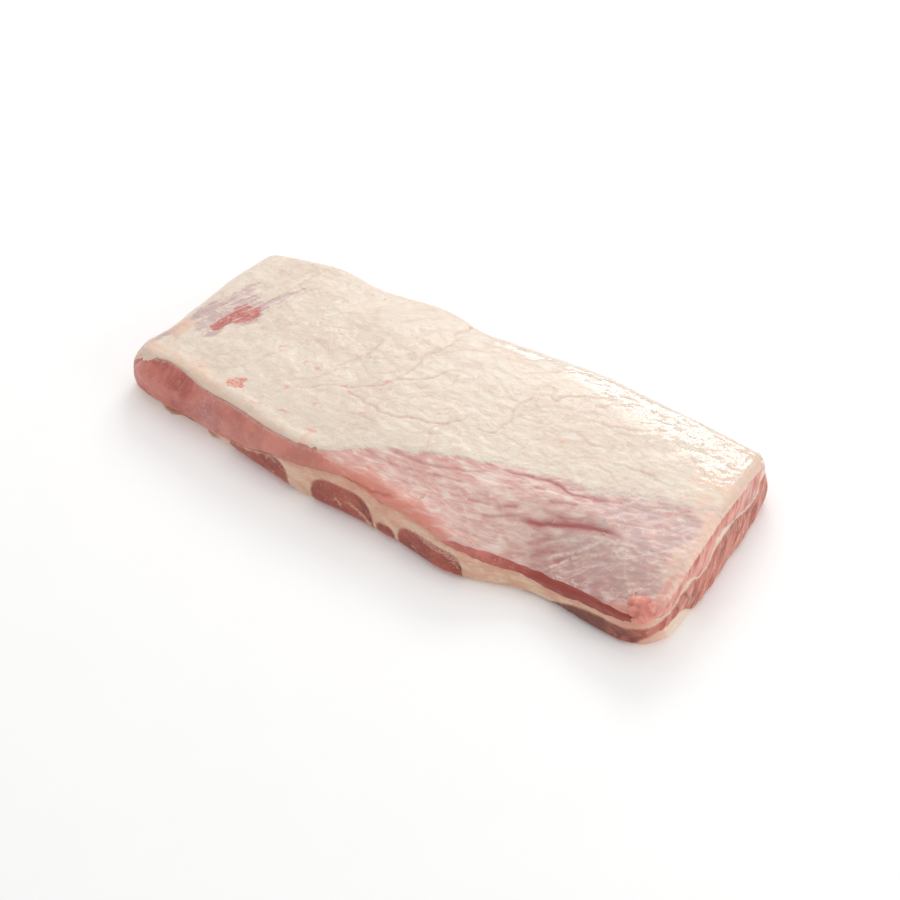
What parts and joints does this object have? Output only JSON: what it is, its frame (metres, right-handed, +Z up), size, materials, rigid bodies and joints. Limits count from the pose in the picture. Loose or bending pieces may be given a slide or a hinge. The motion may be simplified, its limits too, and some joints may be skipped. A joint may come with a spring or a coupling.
{
  "type": "beef brisket",
  "caption": "Raw boneless slab of beef with a pale fat cover, a bare lean patch, and layers of meat and fat showing at its sides.",
  "frame": {"origin": "centre of the bounding box's underside, on the surface the slab lies on", "axes": "+X along the slab towards the end where its layers lie flat and thin, +Y from the front side to the back side, +Z up"},
  "size_m": [0.5157, 0.2291, 0.051],
  "materials": {
    "fat": "moist satin fat",
    "muscle": "moist satin meat",
    "inner_fat": "satin fat",
    "rib_meat": "moist satin dark meat"
  },
  "bodies": {
    "root": {"fat_cover": "fat", "upper_muscle": "muscle", "seam_fat": "inner_fat", "rib_meat_1": "rib_meat", "rib_meat_2": "rib_meat", "rib_meat_3": "rib_meat", "rib_meat_4": "rib_meat", "rib_meat_5": "rib_meat", "end_fat": "inner_fat"}
  },
  "joints": []
}
